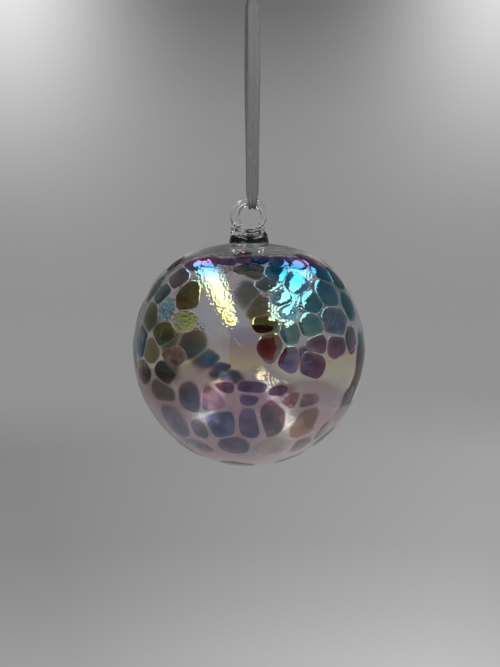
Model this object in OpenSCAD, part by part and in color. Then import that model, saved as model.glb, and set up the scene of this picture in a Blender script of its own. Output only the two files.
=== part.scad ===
// Hanging ornament: a hand-blown glass ball with fused colour, a glass loop on a
// sealed neck, and a satin ribbon loop tied in a knot. The origin is the hanging
// point under the ribbon's knot, +Z is up and -Y is the front.

/* [Glass ball] */
// Diameter over the fused colour, at the widest place
ball_d = 100; // [95:1:110]
// Height of the flattened crown above the ball's centre, as a share of the radius
crown_height = 0.932; // [0.92:0.002:0.95]
// Radius of the crown's curve, as a share of the ball's radius
crown_curve = 1.64; // [1.4:0.02:2]
// Thickness of the clear wall
wall_t = 1.8; // [1:0.1:2.4]
// Thickness of the colour fused on the outside
skin_t = 0.6; // [0.4:0.1:0.8]
// How far the bubble sits off centre to the left, so that the right wall is heavier
bubble_shift = 0.2; // [0:0.01:0.5]

/* [Neck] */
// Diameter of the round seal on the crown
seal_d = 17; // [15:0.5:19]
// Height of the seal above the crown
seal_h = 3.2; // [2.5:0.1:4]
// Radius of the seal's rounded rim
seal_round = 1.4; // [0.8:0.1:1.6]

/* [Glass loop] */
// Radius of the round opening in the loop
eye_r = 4.4; // [4.2:0.1:5]
// Height of the opening's centre above the seal
eye_rise = 7.8; // [7.4:0.1:8.6]
// Radius of the glass rod on its thick side
rod_thick_r = 2.1; // [1.9:0.05:2.2]
// Radius of the glass rod on its thin side
rod_thin_r = 1.35; // [1.2:0.05:1.6]
// How far the loop stands to the right of the ball's axis
loop_side = 0.5; // [0:0.1:0.8]
// Radius of the glass where the end of the rod curls back
curl_rod_r = 1.05; // [0.9:0.05:1.2]

/* [Ribbon] */
// Width of the ribbon as it hangs, a little cupped
ribbon_w = 5.4; // [4.5:0.1:6]
// Thickness of the ribbon
ribbon_t = 0.4; // [0.3:0.05:0.5]
// Distance between the middles of the two strands
strand_gap = 5.6; // [5.6:0.1:6.4]
// Width of the ribbon where it bunches under the glass
bight_w = 3; // [2.6:0.1:3.4]
// Depth of the ball's centre below the hanging point
drop = 156; // [150:1:200]

/* [Knot] */
// Width of the knot
knot_d = 9; // [8:0.5:10]
// Radius of the turn of ribbon under the knot
collar_r = 2.4; // [2:0.1:2.6]
// Length of the ribbon's cut ends above the knot
tail_len = 13; // [8:1:18]

/* [Hidden] */
$fn = 64;

ball_r = ball_d / 2;
unit = ball_r / 50;                       // patch sizes are given for a 100 mm ball
crown_z = crown_height * ball_r;
crown_r = crown_curve * ball_r;
ball_x = -1.4;                            // the ribbon hangs right of the ball's axis
seal_top = crown_z + seal_h - 0.2;
eye_z = seal_top + eye_rise;              // above the ball's centre
eye_x = ball_x + loop_side;
rod_top_r = 1.8;                          // radius of the rod at the top of the loop
foot_r = 4.1;                             // half width of the loop's foot, front to back
far_out = 2 * ball_r;                     // longer than anything on the ball

clear_gap = 0.3;                          // between pieces that move past each other
collar_z = -clear_gap - collar_r;         // both swing axes cross here
strand_top = collar_z - collar_r - clear_gap;
strand_bottom = -drop + 68;               // where the ribbon starts to narrow
bight_top = strand_bottom - clear_gap;
rod_z = -drop + eye_z + sqrt(pow(eye_r + rod_top_r, 2) - pow(eye_x, 2));

// Fused colour on the front: [degrees right of the front, degrees up, radius]
amethyst_front = [
    [-18, -17, 4.4], [0, -28, 4.2], [-15, -31, 4.6], [-10, -46, 5], [-46, -33, 5.5], [-39, -50, 3.8],
    [1, -12, 3], [32, -3, 4.6], [47, 10, 2.6], [60, 9, 3.8], [20, 2, 3.8], [48, 19, 5], [41, 52, 4],
    [57, 54, 4], [75, 40, 5], [-51, 43, 4.6], [-33, 54, 4], [-17, 56, 3.8], [-76, 34, 4.6]
];
blue_front = [
    [-30, -16, 4.6], [-67, 8, 4.6], [-49, 24, 4.2], [-58, 33, 4], [20, 47, 3.6], [30, 39, 3.8],
    [10, 39, 3], [18, 31, 3.2], [36, 29, 4.2], [51, 33, 5], [60, 44, 4.2], [68, 25, 5], [33, 18, 4.2],
    [20, 15, 3.4]
];
olive_front = [
    [-48, -15, 4.2], [-64, -7, 4.4], [-43, -5, 3.8], [-54, 3, 4], [-46, 13, 4.2], [-62, 20, 4.2],
    [-34, 20, 4.2], [-36, 32, 4.6], [1, 50, 4]
];
amber_front = [
    [12, -25, 4.6], [33, -31, 5], [30, -18, 3], [21, -16, 3], [19, -47, 5.6], [38, -47, 4.2],
    [53, -38, 4], [61, -20, 3.6], [70, -46, 4.8], [-37, 4, 3.8], [8, 20, 3.6], [10, 9, 4.4]
];

// The rest of the ball follows a spiral, on the side that faces away
spiral_n = 64;
spiral_turn = 137.508;
function spiral_lat(i) = asin(1 - 2 * (i + 0.5) / spiral_n);
function spiral_lon(i) = (i * spiral_turn) % 360;
function spiral_r(i) = 4.4 + 3 * abs(sin(i * 57));
function spiral_back(i) = -cos(spiral_lon(i)) * cos(spiral_lat(i));
function in_back(i) = spiral_back(i) > 0.25 && spiral_lat(i) < 62 && spiral_lat(i) > -80;
function spiral(kind) = [
    for (i = [0 : spiral_n - 1])
        if (in_back(i) && i % 4 == kind)
            [spiral_lon(i), spiral_lat(i), spiral_r(i)]
];
amethyst_all = concat(amethyst_front, spiral(0));
blue_all = concat(blue_front, spiral(1));
olive_all = concat(olive_front, spiral(2));
amber_all = concat(amber_front, spiral(3));

// Places that the ball's own pieces share
module on_ball() {
    translate([ball_x, 0, -drop]) children();
}
// The blown form, a given depth under its surface
module form(depth) {
    intersection() {
        sphere(r = ball_r - depth, $fn = 160);
        translate([0, 0, crown_z - crown_r]) sphere(r = crown_r - depth, $fn = 240);
    }
}
module skin() {
    difference() {
        form(0);
        form(skin_t);
    }
}
// Round plugs through the skin, one for each patch in a list
module plugs(list) {
    for (p = list)
        rotate([0, 0, p[0]])
            rotate([90 - p[1], 0, 0])
                translate([0, 0, ball_r * 0.7])
                    cylinder(r = p[2] * unit, h = ball_r * 0.4);
}
module patches(list) {
    on_ball()
        intersection() {
            skin();
            plugs(list);
        }
}

// The clear blown wall, closed all round
module ball_shell() {
    color("lightcyan", 0.35)
        on_ball()
            difference() {
                form(skin_t);
                translate([-bubble_shift, 0, 0]) form(skin_t + wall_t);
            }
}
module amethyst_patches() { color("rebeccapurple") patches(amethyst_all); }
module blue_patches() { color("steelblue") patches(blue_all); }
module olive_patches() { color("darkolivegreen") patches(olive_all); }
module amber_patches() { color("sienna") patches(amber_all); }

// Milky glass between the patches of the lower half, with a slanting upper edge
veil_tilt = 14;
veil_z = -14;
module milk_veil() {
    color("thistle")
        on_ball()
            difference() {
                intersection() {
                    skin();
                    translate([0, 0, veil_z])
                        rotate([0, veil_tilt, 0])
                            translate([-far_out, -far_out, -far_out])
                                cube([2 * far_out, 2 * far_out, far_out]);
                }
                plugs(amethyst_all);
                plugs(blue_all);
                plugs(olive_all);
                plugs(amber_all);
                thread_bars();
            }
}

// Thin trails of clear glass laid on the ball: each is a great-circle band
thread_w = 0.5;
// [degrees right and degrees up of the band's middle, slope, length in degrees]
threads = [[36, 5, 6, 24], [47, -28, -20, 12], [-8, 13, -35, 14]];
module thread_bars() {
    for (t = threads)
        rotate([0, 0, t[0]])
            rotate([-t[1], 0, 0])
                rotate([0, t[2], 0])
                    translate([-ball_r * sin(t[3] / 2), -far_out, -thread_w / 2])
                        cube([2 * ball_r * sin(t[3] / 2), far_out, thread_w]);
}
module glass_threads() {
    color("white")
        on_ball()
            intersection() {
                skin();
                thread_bars();
            }
}

// The round seal that closes the ball, with its rim rounded
module seal_button() {
    color("lightcyan")
        on_ball()
            difference() {
                translate([0, 0, crown_z - 4])
                    rotate_extrude()
                        union() {
                            square([seal_d / 2 - seal_round, seal_top - crown_z + 4]);
                            square([seal_d / 2, seal_top - crown_z + 4 - seal_round]);
                            translate([
                                seal_d / 2 - seal_round,
                                seal_top - crown_z + 4 - seal_round
                            ])
                                circle(r = seal_round);
                        }
                form(skin_t);
            }
}

// The saddle of glass between the seal and the loop
module loop_foot() {
    color("lightcyan")
        translate([eye_x, 0, -drop])
            difference() {
                hull() {
                    for (side = [-1, 1])
                        translate([side * 3.6 - 0.4, 0, seal_top])
                            cylinder(r = foot_r, h = 0.8, $fn = 32);
                    translate([-eye_r - rod_thick_r, 0, eye_z - 2.6])
                        cylinder(r = rod_thick_r - 0.1, h = 0.6, $fn = 32);
                    translate([eye_r + rod_thin_r, 0, eye_z - 2.6])
                        cylinder(r = rod_thin_r - 0.1, h = 0.6, $fn = 32);
                }
                translate([0, 0, eye_z])
                    rotate([90, 0, 0])
                        cylinder(r = eye_r, h = 4 * foot_r, center = true);
            }
}

// The loop is a rod that tapers from its thick left leg to its thin right leg
loop_rings = 40;
loop_sides = 16;
loop_from = -38;
loop_to = 218;
function ease(t) = t * t * (3 - 2 * t);
function clamp01(t) = min(1, max(0, t));
function rod_r(a) = a < 90
    ? rod_thin_r + (rod_top_r - rod_thin_r) * ease(clamp01((a - 10) / 80))
    : rod_top_r + (rod_thick_r - rod_top_r) * ease(clamp01((a - 90) / 80));
function loop_point(a, b) =
    let (r = rod_r(a), out = eye_r + r + r * cos(b))
    [out * cos(a), r * sin(b), out * sin(a)];
module hanging_loop() {
    step = (loop_to - loop_from) / loop_rings;
    points = [
        for (i = [0 : loop_rings])
            for (j = [0 : loop_sides - 1])
                loop_point(loop_from + i * step, 360 * j / loop_sides)
    ];
    walls = [
        for (i = [0 : loop_rings - 1])
            for (j = [0 : loop_sides - 1])
                let (k = (j + 1) % loop_sides, a = i * loop_sides, b = a + loop_sides)
                    [a + j, a + k, b + k, b + j]
    ];
    first = [for (j = [loop_sides - 1 : -1 : 0]) j];
    last = [for (j = [0 : loop_sides - 1]) loop_rings * loop_sides + j];
    color("lightcyan")
        translate([eye_x, 0, eye_z - drop])
            polyhedron(points = points, faces = concat(walls, [first, last]));
}

// The rod's end, curled back on itself in front of the thick leg
module loop_curl() {
    color("lightcyan")
        translate([ball_x - 5.6, -3.8, seal_top - drop + 2.1])
            rotate([90, 120, 0])
                rotate_extrude(angle = 280)
                    translate([curl_rod_r * 1.25, 0])
                        circle(r = curl_rod_r);
}

// The ribbon's route, [front to back, height], from the knot down the front and up again
strand_y = strand_gap / 2;
bight_steps = 12;
bight_arc = [
    for (i = [0 : bight_steps])
        let (a = 180 + 180 * i / bight_steps)
            [strand_y * cos(a), rod_z + strand_y * sin(a)]
];
bight_route = concat([[-strand_y, bight_top]], bight_arc, [[strand_y, bight_top]]);
bight_last = len(bight_route) - 1;
function bight_tangent(i) =
    let (
        a = bight_route[max(0, i - 1)],
        b = bight_route[min(bight_last, i + 1)]
    )
    (b - a) / norm(b - a);
function bight_width(z) =
    bight_w + (ribbon_w - bight_w) * ease(clamp01((z - rod_z + strand_y) / (bight_top - rod_z + strand_y)));
function bight_ring(i) =
    let (
        c = bight_route[i],
        t = i == 0 || i == bight_last ? [0, 1] * (i == 0 ? -1 : 1) : bight_tangent(i),
        n = [t[1], -t[0]] * ribbon_t / 2,
        w = bight_width(c[1]) / 2
    )
    [
        [-w, c[0] - n[0], c[1] - n[1]],
        [w, c[0] - n[0], c[1] - n[1]],
        [w, c[0] + n[0], c[1] + n[1]],
        [-w, c[0] + n[0], c[1] + n[1]]
    ];
module ribbon_bight() {
    points = [for (i = [0 : bight_last]) each bight_ring(i)];
    walls = [
        for (i = [0 : bight_last - 1])
            for (j = [0 : 3])
                [4 * i + j, 4 * i + (j + 1) % 4, 4 * i + 4 + (j + 1) % 4, 4 * i + 4 + j]
    ];
    ends = [[3, 2, 1, 0], [for (j = [0 : 3]) 4 * bight_last + j]];
    color("dimgray")
        polyhedron(points = points, faces = concat(walls, ends));
}
module strand(side) {
    translate([-ribbon_w / 2, side * strand_y - ribbon_t / 2, strand_bottom])
        cube([ribbon_w, ribbon_t, strand_top - strand_bottom]);
}
module ribbon_front_strand() { color("gray") strand(-1); }
module ribbon_back_strand() { color("gray") strand(1); }

// The turn of ribbon that gathers the strands, round about the swing axes
module knot_collar() {
    color("dimgray")
        translate([0, 0, collar_z])
            sphere(r = collar_r);
}

// The knot and the two cut ends that stand out of it
knot_h = 8.4;
module ribbon_knot() {
    color("dimgray")
        rotate_extrude()
            union() {
                square([knot_d / 2 - 2.2, knot_h]);
                translate([0, 2.2]) square([knot_d / 2, knot_h - 4.4]);
                translate([knot_d / 2 - 2.2, 2.2]) circle(r = 2.2);
                translate([knot_d / 2 - 2.2, knot_h - 2.2]) circle(r = 2.2);
            }
}
tail_spread = 24;
module ribbon_tails() {
    color("gray")
        difference() {
            for (side = [-1, 1])
                translate([0, side * 0.9, 0])
                    rotate([0, side * tail_spread, 0])
                        translate([-ribbon_w / 2, -ribbon_t / 2, knot_h])
                            cube([ribbon_w, ribbon_t, tail_len - 2]);
            cylinder(r = knot_d, h = knot_h);
        }
}

ball_shell();
amethyst_patches();
blue_patches();
olive_patches();
amber_patches();
milk_veil();
glass_threads();
seal_button();
loop_foot();
hanging_loop();
loop_curl();
ribbon_bight();
ribbon_front_strand();
ribbon_back_strand();
knot_collar();
ribbon_knot();
ribbon_tails();
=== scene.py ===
"""Hand-blown glass ball ornament: clear glass, fused colour and a rainbow lustre, on a grey satin ribbon.

Lengths below are in millimetres unless a name ends in _m; mesh data is written in metres.
"""
import math

import bmesh
import bpy
import numpy as np
from mathutils import Matrix, Vector


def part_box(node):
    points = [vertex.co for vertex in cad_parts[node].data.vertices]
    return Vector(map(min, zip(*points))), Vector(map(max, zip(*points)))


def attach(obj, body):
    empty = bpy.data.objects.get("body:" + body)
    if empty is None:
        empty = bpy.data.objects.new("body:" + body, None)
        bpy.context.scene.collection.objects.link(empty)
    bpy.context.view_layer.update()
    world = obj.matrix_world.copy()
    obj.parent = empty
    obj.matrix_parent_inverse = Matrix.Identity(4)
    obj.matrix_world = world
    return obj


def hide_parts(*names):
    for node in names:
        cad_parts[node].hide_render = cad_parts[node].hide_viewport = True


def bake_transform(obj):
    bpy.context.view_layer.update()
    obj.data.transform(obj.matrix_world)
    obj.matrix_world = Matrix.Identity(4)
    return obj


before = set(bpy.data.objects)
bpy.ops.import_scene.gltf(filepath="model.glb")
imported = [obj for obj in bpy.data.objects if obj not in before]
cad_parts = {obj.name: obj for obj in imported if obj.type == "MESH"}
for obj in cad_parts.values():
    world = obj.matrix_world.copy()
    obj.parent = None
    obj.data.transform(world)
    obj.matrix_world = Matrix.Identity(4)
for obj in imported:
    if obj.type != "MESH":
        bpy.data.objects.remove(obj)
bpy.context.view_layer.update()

MM = 0.001
TURN = 6.3  # random phases run over a full turn
rng = np.random.default_rng(7)

# ---- places taken from the CAD model
shell_lo, shell_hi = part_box("ball_shell")
CLEAR_R = (shell_hi.x - shell_lo.x) / 2 / MM  # outer radius of the clear wall
BALL = np.array([(shell_lo.x + shell_hi.x) / 2, 0, shell_lo.z]) / MM + [0, 0, CLEAR_R]
SEAL_LO, SEAL_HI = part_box("seal_button")
SEAL_R = (SEAL_HI.x - SEAL_LO.x) / 2 / MM
SEAL_TOP = SEAL_HI.z / MM
BIGHT_LO, BIGHT_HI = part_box("ribbon_bight")
_, STRAND_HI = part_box("ribbon_front_strand")

SKIN = 0.6  # thickness of the fused colour
ROUND_R = 50.0  # radius of the ball over the fused colour
CROWN_Z = 46.6  # crown above the ball's centre
CROWN_R = 82.0
WALL = 1.8  # thickness of the clear wall


# ---- camera
CAMERA_TARGET = Vector((-0.97, 0, -148.9)) * MM
CAMERA_ELEVATION = math.radians(7)
CAMERA_DISTANCE_M = 0.6
FRAME_HEIGHT_M = 0.2863  # what the picture spans at the target

camera_data = bpy.data.cameras.new("camera")
camera = bpy.data.objects.new("camera", camera_data)
bpy.context.scene.collection.objects.link(camera)
bpy.context.scene.camera = camera
back = Vector((0, -math.cos(CAMERA_ELEVATION), math.sin(CAMERA_ELEVATION)))
camera.location = CAMERA_TARGET + back * CAMERA_DISTANCE_M
camera.rotation_mode = "QUATERNION"
camera.rotation_quaternion = (-back).to_track_quat("-Z", "Y")
camera_data.sensor_width = 36
camera_data.lens = camera_data.sensor_width * CAMERA_DISTANCE_M / FRAME_HEIGHT_M
camera_data.clip_start = 0.01
camera_data.clip_end = 200


# ---- helpers for meshes
def ease(t):
    t = np.clip(t, 0, 1)
    return t * t * (3 - 2 * t)


def shade_smooth(mesh):
    mesh.polygons.foreach_set("use_smooth", [True] * len(mesh.polygons))


def turn_faces_outward(mesh):
    bm = bmesh.new()
    bm.from_mesh(mesh)
    bmesh.ops.recalc_face_normals(bm, faces=bm.faces)
    bm.to_mesh(mesh)
    bm.free()


def piece(name, points, faces):
    """A mesh object from points in millimetres."""
    mesh = bpy.data.meshes.new(name)
    mesh.from_pydata((np.asarray(points) * MM).tolist(), [], [list(map(int, f)) for f in faces])
    mesh.validate()
    shade_smooth(mesh)
    mesh.update()
    obj = bpy.data.objects.new(name, mesh)
    bpy.context.scene.collection.objects.link(obj)
    return obj


def point_colour(obj, name, colours):
    """A colour for each point, which the materials read by name."""
    layer = obj.data.color_attributes.new(name, "FLOAT_COLOR", "POINT")
    rgba = np.ones((len(colours), 4), np.float32)
    rgba[:, :3] = colours
    layer.data.foreach_set("color", rgba.ravel())


def point_value(obj, name, values):
    layer = obj.data.attributes.new(name, "FLOAT", "POINT")
    layer.data.foreach_set("value", np.asarray(values, np.float32))


def grid_faces(rows, columns, closed=False, offset=0):
    """Quads between the rows of a grid of points; closed joins the last column to the first."""
    faces = []
    last = columns if closed else columns - 1
    for i in range(rows - 1):
        for j in range(last):
            k = (j + 1) % columns
            a, b = offset + i * columns, offset + (i + 1) * columns
            faces.append((a + j, a + k, b + k, b + j))
    return faces


def icosphere(level):
    """Unit directions and faces of a subdivided icosahedron."""
    bm = bmesh.new()
    bmesh.ops.create_icosphere(bm, subdivisions=level, radius=1)
    directions = np.array([v.co for v in bm.verts])
    faces = np.array([[v.index for v in f.verts] for f in bm.faces])
    bm.free()
    return directions / np.linalg.norm(directions, axis=1)[:, None], faces


def join_meshes(parts):
    """One list of points and one of faces from several."""
    points, faces, start = [], [], 0
    for p, f in parts:
        points.append(np.asarray(p, float))
        faces += [[start + i for i in face] for face in f]
        start += len(p)
    return np.vstack(points), faces


def tube(path, radii, sides):
    """A closed tube along a path, with round ends."""
    path = np.asarray(path, float)
    n = len(path)
    tangent = np.gradient(path, axis=0)
    tangent /= np.linalg.norm(tangent, axis=1)[:, None]
    up = np.array([0.0, 1.0, 0.0]) if abs(tangent[0][1]) < 0.9 else np.array([1.0, 0.0, 0.0])
    points = []
    for i in range(n):
        side = np.cross(tangent[i], up)
        side /= np.linalg.norm(side)
        up = np.cross(side, tangent[i])
        for j in range(sides):
            a = 2 * math.pi * j / sides
            points.append(path[i] + radii[i] * (math.cos(a) * side + math.sin(a) * up))
    faces = grid_faces(n, sides, closed=True)
    faces = [f[::-1] for f in faces]
    start, end = len(points), len(points) + 1
    points += [path[0] - tangent[0] * radii[0] * 0.6, path[-1] + tangent[-1] * radii[-1] * 0.6]
    for j in range(sides):
        k = (j + 1) % sides
        faces.append((j, k, start))
        faces.append(((n - 1) * sides + j, (n - 1) * sides + k, end))
    return np.array(points), faces


# ---- helpers for materials
def set_stops(ramp, stops):
    ramp.elements[0].position = stops[0][0]
    ramp.elements[1].position = stops[-1][0]
    for position, _ in stops[1:-1]:
        ramp.elements.new(position)
    for element, (_, colour) in zip(ramp.elements, stops):
        element.color = (*colour, 1) if isinstance(colour, tuple) else (colour, colour, colour, 1)


def maths(tree, operation, *values):
    """A Math node's output. Each value is a number or another node's output."""
    node = tree.nodes.new("ShaderNodeMath")
    node.operation = operation
    for socket, value in zip(node.inputs, values):
        if isinstance(value, (int, float)):
            socket.default_value = value
        else:
            tree.links.new(value, socket)
    return node.outputs[0]


class Nodes:
    """A material's node tree, with a Principled shader on its output."""

    def __init__(self, name):
        self.material = bpy.data.materials.new(name)
        self.material.use_nodes = True
        self.tree = self.material.node_tree
        self.shader = self.tree.nodes["Principled BSDF"]

    def add(self, kind, **inputs):
        node = self.tree.nodes.new("ShaderNode" + kind)
        for key, value in inputs.items():
            if hasattr(node, key):
                setattr(node, key, value)
        return node

    def wire(self, source, node, socket):
        self.tree.links.new(source, node.inputs[socket])

    def place(self):
        return self.add("TexCoord").outputs["Object"]

    def noise(self, scale, detail=2.0, vector=None, distortion=0.0):
        node = self.add("TexNoise")
        node.inputs["Scale"].default_value = scale
        node.inputs["Detail"].default_value = detail
        node.inputs["Distortion"].default_value = distortion
        self.wire(vector or self.place(), node, "Vector")
        return node.outputs["Fac"]

    def voronoi(self, scale):
        node = self.add("TexVoronoi", feature="F1")
        node.inputs["Scale"].default_value = scale
        self.wire(self.place(), node, "Vector")
        return node.outputs["Distance"]

    def remap(self, value, low, high, to_low, to_high, smooth=False):
        node = self.add("MapRange")
        if smooth:
            node.interpolation_type = "SMOOTHSTEP"
        self.wire(value, node, "Value")
        for name, number in (("From Min", low), ("From Max", high), ("To Min", to_low), ("To Max", to_high)):
            node.inputs[name].default_value = number
        return node.outputs["Result"]

    def ramp(self, value, stops):
        """A curve through stops, each a position and a grey or a colour."""
        node = self.add("ValToRGB")
        self.wire(value, node, "Fac")
        set_stops(node.color_ramp, stops)
        return node.outputs["Color"]

    def math(self, operation, *values):
        return maths(self.tree, operation, *values)

    def times(self, a, b):
        return self.math("MULTIPLY", a, b)

    def plus(self, a, b):
        return self.math("ADD", a, b)

    def minus(self, a, b):
        return self.math("SUBTRACT", a, b)

    def mix(self, amount, a, b, blend="MIX"):
        node = self.add("Mix", data_type="RGBA", blend_type=blend)
        for socket, x in ((0, amount), (6, a), (7, b)):
            if isinstance(x, (int, float)):
                node.inputs[socket].default_value = x
            elif isinstance(x, tuple):
                node.inputs[socket].default_value = (*x, 1)
            else:
                self.tree.links.new(x, node.inputs[socket])
        return node.outputs[2]

    def mottle(self, scale, detail, one, other):
        """Two colours in soft patches."""
        return self.mix(self.remap(self.noise(scale, detail), 0.35, 0.65, 0, 1), one, other)

    def attribute(self, name, output="Fac"):
        node = self.add("Attribute", attribute_name=name)
        return node.outputs[output]

    def bump(self, height, distance, strength=1.0, normal=None):
        node = self.add("Bump")
        node.inputs["Strength"].default_value = strength
        node.inputs["Distance"].default_value = distance
        self.wire(height, node, "Height")
        if normal:
            self.wire(normal, node, "Normal")
        return node.outputs["Normal"]

    def set(self, **values):
        for key, value in values.items():
            name = key.replace("_", " ")
            socket = self.shader.inputs[name]
            if hasattr(value, "is_linked"):
                self.tree.links.new(value, socket)
            else:
                socket.default_value = value


# ---- the ribbon, first of all
RIBBON_W = 5.4
RIBBON_T = 0.36
STRAND_Y = 2.8  # half the distance between the strands
ROD_Z = (BIGHT_LO.z / MM) + 3.0  # the glass rod that the ribbon runs under
STRAND_BOTTOM = BIGHT_HI.z / MM
STRAND_TOP = STRAND_HI.z / MM + 0.3  # the strands gather just under the collar
TOP_TURN = math.radians(24)  # how far the ribbon turns on its way up
TOP_GAP = 1.1  # half the distance between the strands under the knot
BUNCH_LOW, BUNCH_HIGH = 7.5, 7  # lengths over which the ribbon bunches at the rod and under the knot


def strand_y(z):
    """Half the distance between the strands: they close up towards the knot."""
    return TOP_GAP + (STRAND_Y - TOP_GAP) * ease((STRAND_TOP - z) / 50)


def ribbon_route():
    """The ribbon's centreline: down the front, under the rod and up the back."""
    down = [(-strand_y(z), z) for z in np.linspace(STRAND_TOP, STRAND_BOTTOM, 60)]
    bottom = [
        (STRAND_Y * math.cos(a), ROD_Z + STRAND_Y * math.sin(a))
        for a in np.linspace(math.pi, 2 * math.pi, 25)
    ]
    up = [(-y, z) for y, z in down[::-1]]
    return np.array(down + bottom + up)


def ribbon_turn(z):
    """The turn about the vertical at a height."""
    return TOP_TURN * ease((z - STRAND_BOTTOM) / (STRAND_TOP - STRAND_BOTTOM))


def ribbon_mesh():
    route = ribbon_route()
    across = np.linspace(-1, 1, 33)
    tangent = np.gradient(route, axis=0)
    tangent /= np.linalg.norm(tangent, axis=1)[:, None]
    rows, along, side_value = [], [], []
    travelled = np.concatenate([[0], np.cumsum(np.linalg.norm(np.diff(route, axis=0), axis=1))])
    for side in (1, -1):
        for i, (y, z) in enumerate(route):
            ny, nz = -tangent[i][1], tangent[i][0]        # points away from the other strand
            low = float(ease((STRAND_BOTTOM + 0.6 - z) / BUNCH_LOW))
            high = 0.8 * float(ease((z - STRAND_TOP + BUNCH_HIGH) / BUNCH_HIGH))
            bunch = max(low, high)
            half = RIBBON_W / 2 * (1 - 0.42 * bunch)
            cup = 0.22 + 0.55 * bunch
            fold = 0.05 + 0.24 * bunch
            ridges = 0.035 * np.cos(across * math.pi * 9)
            lift = -cup * across**2 + fold * np.cos(across * math.pi * 2.6 + 0.7) + ridges
            lift += 0.06 * math.sin(z * 0.23 + (1 if y < 0 else 2))
            edge = np.sqrt(np.clip(1 - np.abs(across) ** 14, 0, 1))
            offset = lift + side * RIBBON_T / 2 * (0.25 + 0.75 * edge)
            x = across * half
            px, py, pz = x, y + ny * offset, z + nz * offset
            a = float(ribbon_turn(z))
            c, s = math.cos(a), math.sin(a)
            rows.append(np.stack([px * c - py * s, px * s + py * c, pz], 1))
            along += [travelled[i]] * len(across)
            side_value += list(across)
    n, m = len(route), len(across)
    points = np.vstack(rows)
    outer = grid_faces(n, m)
    inner = [f[::-1] for f in grid_faces(n, m, offset=n * m)]
    walls = []
    for i in range(n - 1):
        for j, flip in ((0, False), (m - 1, True)):
            f = (i * m + j, (i + 1) * m + j, n * m + (i + 1) * m + j, n * m + i * m + j)
            walls.append(f[::-1] if flip else f)
    for i, flip in ((0, True), (n - 1, False)):
        for j in range(m - 1):
            f = (i * m + j, i * m + j + 1, n * m + i * m + j + 1, n * m + i * m + j)
            walls.append(f if flip else f[::-1])
    return points, outer + inner + walls, along, side_value


points, faces, along, side_value = ribbon_mesh()
ribbon = piece("ribbon_loop", points, faces)
point_value(ribbon, "along", np.array(along) / RIBBON_W)
point_value(ribbon, "across", side_value)


def satin():
    """Grey satin: fine ribs along the ribbon, lengthwise streaks of lighter and darker warm grey, painted
    shade along the edges and a soft sheen.
    """
    n = Nodes("grey_satin")
    along, across = n.attribute("along"), n.attribute("across")
    combine = n.add("CombineXYZ")
    n.wire(across, combine, "X")
    n.wire(along, combine, "Y")
    flat = combine.outputs[0]
    stretch = n.add("Mapping")
    stretch.inputs["Scale"].default_value = (14, 1.4, 1)
    n.wire(flat, stretch, "Vector")
    streaks = n.noise(1.0, 3.0, stretch.outputs[0])
    ribs = n.math("SINE", n.times(across, 42))
    weft = n.math("SINE", n.times(along, 110))
    shade = n.mix(n.remap(streaks, 0.3, 0.7, 0, 1), (0.25, 0.245, 0.24), (0.40, 0.39, 0.375))
    # painted shade: the outer tenth of each edge is darkened in colour, where the ribbon turns away from the
    # light
    edge = n.remap(n.math("ABSOLUTE", across), 0.8, 1.0, 0, 0.55)
    shade = n.mix(edge, shade, (0.13, 0.13, 0.13))
    shade = n.mix(n.remap(ribs, -1, 1, 0, 0.25), shade, (0.16, 0.155, 0.15))
    height = n.plus(n.times(ribs, 0.6), n.times(weft, 0.3))
    height = n.plus(height, n.times(streaks, 0.8))
    n.set(
        Base_Color=shade,
        Roughness=n.remap(streaks, 0.3, 0.7, 0.38, 0.55),
        Normal=n.bump(height, 0.00004, 0.8),
        Anisotropic=0.6,
        Sheen_Weight=0.25,
        Sheen_Roughness=0.4,
    )
    return n.material


satin_ribbon = satin()
ribbon.data.materials.append(satin_ribbon)


# ---- the knot above it
STRIP_SIDES = 34


def swept_ribbon(path, width, thickness, up_hint, cup):
    """A flat closed strip along a path, with rounded edges. Returns points, faces, along, across."""
    path = np.asarray(path, float)
    tangent = np.gradient(path, axis=0)
    tangent /= np.linalg.norm(tangent, axis=1)[:, None]
    width = np.broadcast_to(width, len(path))
    around = np.linspace(0, 2 * math.pi, STRIP_SIDES, endpoint=False)
    across, depth = np.cos(around), np.sin(around)
    depth = np.sign(depth) * np.abs(depth) ** 0.5
    travelled = np.concatenate([[0], np.cumsum(np.linalg.norm(np.diff(path, axis=0), axis=1))])
    points, along, sides = [], [], []
    for i, p in enumerate(path):
        normal = up_hint(i, p, tangent[i])
        normal = normal - tangent[i] * (normal @ tangent[i])
        normal /= np.linalg.norm(normal)
        side = np.cross(tangent[i], normal)
        ridge = 0.04 * np.cos(across * math.pi * 7)
        out = depth * thickness / 2 + ridge - cup * across**2
        points.append(p + np.outer(across * width[i] / 2, side) + np.outer(out, normal))
        along += [travelled[i]] * len(across)
        sides += list(across)
    faces = [f[::-1] for f in grid_faces(len(path), STRIP_SIDES, closed=True)]
    faces.append(list(range(STRIP_SIDES))[::-1])
    faces.append([(len(path) - 1) * STRIP_SIDES + j for j in range(STRIP_SIDES)])
    return np.vstack(points), faces, along, sides


def ribbon_piece(name, parts, body, *nodes):
    """A piece made of swept strips, in the ribbon's satin."""
    points, faces = join_meshes([(p, f) for p, f, _, _ in parts])
    obj = piece(name, points, faces)
    turn_faces_outward(obj.data)
    shade_smooth(obj.data)
    point_value(obj, "along", np.concatenate([np.array(a) / RIBBON_W for _, _, a, _ in parts]))
    point_value(obj, "across", np.concatenate([np.array(s) for _, _, _, s in parts]))
    obj.data.materials.append(satin_ribbon)
    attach(obj, body)
    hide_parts(*nodes)
    return obj


KNOT_LO, KNOT_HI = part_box("ribbon_knot")
KNOT_R = (KNOT_HI.x - KNOT_LO.x) / 2 / MM
KNOT_H = KNOT_HI.z / MM
COLLAR_LO, COLLAR_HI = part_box("knot_collar")
COLLAR_Z = (COLLAR_LO.z + COLLAR_HI.z) / 2 / MM
COLLAR_R = (COLLAR_HI.x - COLLAR_LO.x) / 2 / MM


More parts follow.
